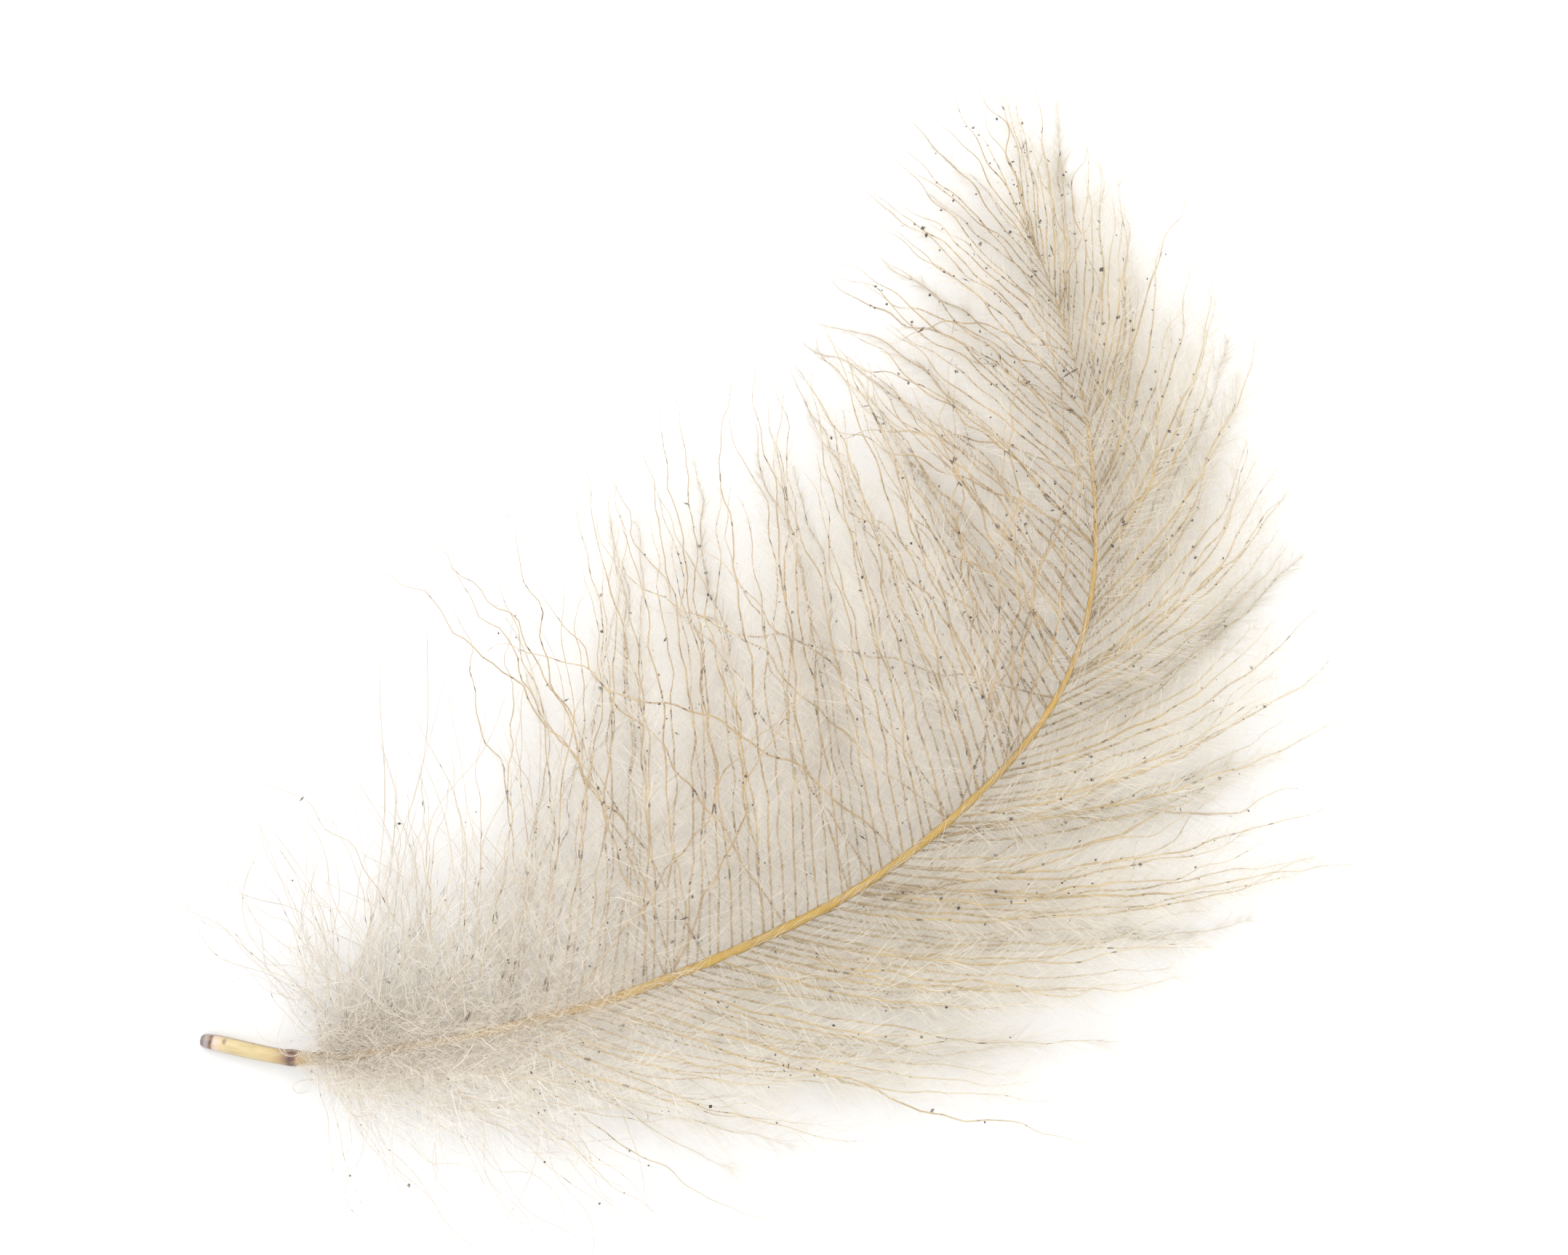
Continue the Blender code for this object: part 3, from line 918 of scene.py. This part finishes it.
def fibre_material(name, groups, pale, dark, grey, scale, fleck, threshold, share, ends=None):
    """Downy keratin: mottled, flecked with dried dirt, and greyer at the feather's root.

    ends are the colours that a barb takes on next to the shaft and at its free end.
    """
    mottle, flecks, base, barb_ends = groups
    material, tree, shader = new_material(name, 0.55)
    colour = use_group(
        tree, mottle, {"Pale": (*pale, 1), "Dark": (*dark, 1), "Scale": scale}
    )
    if ends:
        by_shaft, free = ends
        colour = use_group(
            tree,
            barb_ends,
            {"Colour": colour, "By Shaft": (*by_shaft, 1), "Free End": (*free, 1)},
        )
    colour = use_group(tree, base, {"Colour": colour, "Grey": (*grey, 1)})
    colour = use_group(
        tree, flecks, {"Colour": colour, "Fleck": (*fleck, 1), "Threshold": threshold}
    )
    let_light_through(tree, shader, colour, share)
    return material


def ramp_along(tree, share, stops):
    """A colour that changes with the distance along the shaft: stops are (mm, colour)."""
    first, last = stops[0][0], stops[-1][0]
    ramp = tree.nodes.new("ShaderNodeValToRGB")
    elements = ramp.color_ramp.elements
    while len(elements) > 1:
        elements.remove(elements[-1])
    for i, (where, colour) in enumerate(stops):
        at = (where - first) / (last - first)
        element = elements[0] if i == 0 else elements.new(at)
        element.position = at
        element.color = (*colour, 1)
    place = spread_out(tree, share, first / SHAFT_LENGTH, last / SHAFT_LENGTH)
    tree.links.new(place, ramp.inputs["Fac"])
    return ramp.outputs["Color"]


def add_bump(tree, shader, height, distance):
    """Roughens a shader's surface by a height that runs from 0 to 1."""
    bump = tree.nodes.new("ShaderNodeBump")
    bump.inputs["Strength"].default_value = 0.6
    bump.inputs["Distance"].default_value = distance
    tree.links.new(height, bump.inputs["Height"])
    tree.links.new(bump.outputs["Normal"], shader.inputs["Normal"])


def horn_material(name, flecks, stops, dark, stretch, fleck_and_side_shade, roughness):
    """The horn of the quill and the shaft.

    It is coloured along its length, streaked and flecked, and given painted shade down its
    two sides, where a round tube's flanks fall away from the light.
    """
    material, tree, shader = new_material(name, roughness)
    uv, share, around = read_along(tree)
    streaks = noise_texture(tree, stretched(tree, uv, stretch), 1.0, 4.0)
    streak = spread_out(tree, streaks, 0.45, 0.85)
    colour = mix_colour(tree, streak, ramp_along(tree, share, stops), (*dark, 1))
    colour = use_group(
        tree, flecks, {"Colour": colour, "Fleck": (*fleck_and_side_shade, 1), "Scale": 1900.0, "Threshold": 0.68}
    )
    # Painted shade: darker towards the tube's two flanks, lighter on its top and underside.
    sides = calculate(tree, "COSINE", calculate(tree, "MULTIPLY", around, 4 * math.pi))
    side = spread_out(tree, sides, 0.35, 1.0, 0.0, 0.85)
    colour = mix_colour(tree, side, colour, (*fleck_and_side_shade, 1))
    tree.links.new(colour, shader.inputs["Base Color"])
    add_bump(tree, shader, streaks, 0.03 * MM)
    shader.inputs["Subsurface Weight"].default_value = 0.25
    shader.inputs["Subsurface Scale"].default_value = 0.2 * MM
    return material


def dust_material(mottle):
    """Dull dark dirt."""
    material, tree, shader = new_material("dried_dirt", 0.8)
    pale, dark = (0.2, 0.165, 0.14, 1), (0.045, 0.04, 0.04, 1)
    colour = use_group(tree, mottle, {"Pale": pale, "Dark": dark, "Scale": 900.0})
    tree.links.new(colour, shader.inputs["Base Color"])
    return material


def make_materials():
    """The looks of the inner and outer vane, the wisps, the shaft, the quill and the dirt.

    A vane's look is a pair: that of its barbs and that of its barbules.
    """
    mottle, flecks = make_mottle_group(), make_fleck_group()
    groups = (mottle, flecks, make_base_group(), make_barb_group())
    inner_barbs = fibre_material(
        "inner_barb_keratin",
        groups,
        pale=(0.81, 0.67, 0.45), dark=(0.59, 0.46, 0.29), grey=(0.82, 0.76, 0.66),
        scale=900, fleck=(0.34, 0.25, 0.16), threshold=0.61, share=0.5,
        ends=((0.6, 0.48, 0.32), (0.78, 0.68, 0.52)),
    )
    outer_barbs = fibre_material(
        "outer_barb_keratin",
        groups,
        pale=(0.84, 0.72, 0.47), dark=(0.67, 0.555, 0.355), grey=(0.84, 0.765, 0.645),
        scale=900, fleck=(0.42, 0.34, 0.25), threshold=0.64, share=0.55,
        ends=((0.48, 0.37, 0.235), (0.9, 0.855, 0.77)),
    )
    wisps = fibre_material(
        "wisp_keratin",
        groups,
        pale=(0.84, 0.755, 0.615), dark=(0.71, 0.615, 0.485), grey=(0.87, 0.815, 0.73),
        scale=900, fleck=(0.34, 0.28, 0.22), threshold=0.7, share=0.4,
    )
    inner_down, outer_down = (
        fibre_material(
            name,
            groups,
            pale,
            dark,
            grey=(0.97, 0.945, 0.9),
            scale=450,
            fleck=(0.3, 0.24, 0.18),
            threshold=0.78,
            share=0.5,
        )
        for name, pale, dark in (
            ("inner_barbule_keratin", (0.89, 0.855, 0.79), (0.82, 0.775, 0.7)),
            ("outer_barbule_keratin", (0.865, 0.825, 0.75), (0.79, 0.745, 0.66)),
        )
    )
    gold = horn_material(
        "gold_shaft",
        flecks,
        stops=(
            (3.3, (0.5, 0.41, 0.28)), (6.0, (0.56, 0.44, 0.27)), (10.0, (0.54, 0.41, 0.23)),
            (14.0, (0.5, 0.37, 0.17)), (18.0, (0.46, 0.31, 0.085)), (30.0, (0.47, 0.31, 0.075)),
            (40.0, (0.51, 0.345, 0.115)), (SHAFT_LENGTH, (0.54, 0.42, 0.23)),
        ),
        dark=(0.36, 0.23, 0.065),
        stretch=(90.0, 4.0, 1.0),
        # The fleck colour, also used as painted shade down the shaft's two sides.
        fleck_and_side_shade=(0.4, 0.28, 0.12),
        roughness=0.6,
    )
    horn = horn_material(
        "quill_horn",
        flecks,
        stops=(
            # Painted highlight: the lighter stop at -0.04, on the glassy end.
            (-0.25, (0.16, 0.13, 0.13)), (-0.14, (0.2, 0.17, 0.18)), (-0.04, (0.36, 0.32, 0.34)),
            (0.05, (0.28, 0.235, 0.24)), (0.11, (0.12, 0.065, 0.045)), (0.17, (0.14, 0.08, 0.06)),
            (0.23, (0.6, 0.45, 0.4)), (0.34, (0.64, 0.52, 0.44)), (0.5, (0.6, 0.49, 0.29)),
            (1.6, (0.58, 0.47, 0.25)), (2.4, (0.55, 0.43, 0.22)), (2.7, (0.4, 0.28, 0.15)),
            (2.95, (0.2, 0.12, 0.085)), (3.05, (0.11, 0.055, 0.05)), (3.2, (0.14, 0.075, 0.06)),
            (3.3, (0.36, 0.24, 0.13)), (3.6, (0.48, 0.38, 0.25)), (4.2, (0.56, 0.47, 0.34)),
        ),
        dark=(0.45, 0.34, 0.16),
        stretch=(70.0, 9.0, 1.0),
        # The fleck colour, also used as painted shade down the quill's two sides.
        fleck_and_side_shade=(0.24, 0.17, 0.13),
        roughness=0.28,
    )
    vanes = ((inner_barbs, inner_down), (outer_barbs, outer_down))
    return vanes, wisps, gold, horn, dust_material(mottle)


def make_shaft(gold):
    """The shaft, slightly flattened and uneven."""
    run = np.linspace(SHAFT_RADII[0][0], SHAFT_LENGTH, SHAFT_STATIONS)
    rng = np.random.default_rng(SEED + 3)
    uneven = 1 + 0.05 * smooth_wander(rng, 1, len(run), (9, 17, 31, 46))[0]
    return shaft_tube("shaft", run, between(SHAFT_RADII, run) * uneven, 14, gold, squash=0.9)


def make_quill(horn):
    """The quill's rings, with some more between them for a smooth outline."""
    rings = np.array(QUILL_RINGS)
    number = np.linspace(0, len(rings) - 1, 3 * (len(rings) - 1) + 1)
    run, radii = (np.interp(number, np.arange(len(rings)), rings[:, k]) for k in (0, 1))
    return shaft_tube("quill", run, radii, 24, horn)


def make_vane(rng, vane, barb_look, down_look):
    """A vane's barbs and barbules. Also gives the barbs' routes."""
    routes, lengths, places, crosses = grow_barbs(rng, vane)
    radii = between(BARB_RADII, ALONG_BARB) * between(vane.girth, places)[:, None]
    barbs = tube_mesh(f"{vane.name}_barbs", routes, radii, 4, barb_look)
    share = np.where(crosses, CROSSING_BARBULES, 1.0)
    numbers = lengths * between(vane.barbules, places) * share
    lines, widths = grow_barbules(
        rng,
        routes,
        numbers,
        between(vane.longest, places),
        vane.haze,
        between(vane.reach, places),
    )
    lines, widths = thin_out(rng, lines, widths)
    names = [f"{vane.name}_barbules_{where}" for where in ("near_quill", "middle", "near_tip")]
    return [barbs, *make_barbules(rng, names, lines, widths, down_look)], routes


def make_root_down(rng, barb_look, wisp_look, down_look):
    """The after-feather, and the tuft that hides the root of the shaft."""
    fan = grow_after_feather(rng)
    tuft = grow_tuft(rng)
    pieces = []
    for name, (routes, down), looks, girth, longest, haze, per_mm in (
        ("after_feather", fan, (barb_look, down_look), 0.7, 1.7, AFTER_HAZE, 12.0),
        # Tuft barbules take the darker wisp keratin: painted shade on the down's lit top.
        ("root_tuft", tuft, (wisp_look, wisp_look), 0.6, 1.0, TUFT_HAZE, 17.0),
    ):
        radii = np.broadcast_to(girth * between(DOWN_RADII, ALONG_BARB), routes.shape[:2])
        pieces.append(tube_mesh(f"{name}_barbs", routes, radii, 3, looks[0]))
        each = np.ones(len(routes))
        lines, widths = grow_barbules(
            rng, routes, down * per_mm, longest * each, haze, each, ROOT_BARBULE_WIDTH
        )
        pieces += make_barbules(rng, [f"{name}_barbules"], lines, widths, looks[1])
    return pieces


def make_wisps(rng, wisp_look, down_look):
    """The loose curly barbs, and the thin haze of the few barbules that they carry."""
    groups = [grow_wisps(rng, *group[:5]) for group in LOOSE_BARBS]
    routes = np.concatenate([group[0] for group in groups])
    down = np.concatenate([group[1] for group in groups])
    girth = np.repeat([group[5] for group in LOOSE_BARBS], [group[0] for group in LOOSE_BARBS])
    radii = between(DOWN_RADII, ALONG_BARB) * girth[:, None]
    wisps = tube_mesh("loose_wisps", routes, radii, 3, wisp_look)
    each = np.ones(len(routes))
    lines, widths = grow_barbules(
        rng,
        routes,
        WISP_BARBULES * down,
        WISP_LONGEST * each,
        WISP_HAZE,
        each,
        WISP_BARBULE_WIDTH,
    )
    return [wisps, *make_barbules(rng, ["wisp_barbules"], lines, widths, down_look)], routes


def make_stage():
    """A plain white floor, an even white sky, and a soft light from the picture's upper side."""
    bpy.ops.mesh.primitive_plane_add(size=3.0, location=(0, 0, 0))
    floor = bpy.context.object
    floor.name = "floor"
    white, _, shader = new_material("floor_white", 0.9)
    shader.inputs["Base Color"].default_value = (0.77, 0.77, 0.77, 1)
    floor.data.materials.append(white)

    world = bpy.context.scene.world or bpy.data.worlds.new("studio")
    bpy.context.scene.world = world
    world.use_nodes = True
    back = world.node_tree.nodes["Background"]
    back.inputs["Color"].default_value = (1, 1, 1, 1)
    back.inputs["Strength"].default_value = 1.3

    light = bpy.data.lights.new("soft_light", "AREA")
    light.shape = "DISK"
    light.size = 0.5
    light.energy = 0.7
    lamp = add_object("soft_light", light)
    away, height = LIGHT_PLACE
    where = Vector((math.sin(IMAGE_TURN) * away, math.cos(IMAGE_TURN) * away, height))
    lamp.location = where
    lamp.rotation_mode = "QUATERNION"
    lamp.rotation_quaternion = (-where).to_track_quat("-Z", "Y")


def make_camera():
    """Looks straight down, with the quill's end at the lower left, as in the photograph."""
    data = bpy.data.cameras.new("camera")
    data.lens = LENS
    data.sensor_width = SENSOR
    data.clip_start = 0.01
    data.clip_end = 10
    camera = add_object("camera", data)
    camera.rotation_euler = (0, 0, -IMAGE_TURN)
    camera.location = (*FRAME_CENTRE, FRAME_WIDTH * LENS / SENSOR + FRAME_HEIGHT)
    bpy.context.scene.camera = camera


def dress(piece):
    """Says what a piece rides on, and hides the part's feather."""
    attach(piece, "root")
    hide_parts("feather")


def main():
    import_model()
    bpy.context.scene.view_settings.view_transform = "Standard"

    vane_looks, wisp_look, gold, horn, dirt = make_materials()
    pieces = [make_shaft(gold), make_quill(horn)]
    all_routes = []
    for number, (vane, looks) in enumerate(zip((INNER, OUTER), vane_looks)):
        rng = np.random.default_rng((SEED, number))
        made, routes = make_vane(rng, vane, *looks)
        pieces += made
        all_routes.append(routes)
    rng = np.random.default_rng((SEED, 2))
    down_look = vane_looks[0][1]
    pieces += make_root_down(rng, vane_looks[1][0], wisp_look, down_look)
    wisps, wisp_routes = make_wisps(rng, wisp_look, down_look)
    pieces += wisps
    dusty_routes = np.concatenate(all_routes + [wisp_routes[::DUSTY_WISPS]])
    pieces.append(make_dust(rng, dusty_routes, DUST_TRIES, dirt))
    for piece in pieces:
        dress(piece)

    make_stage()
    make_camera()


main()
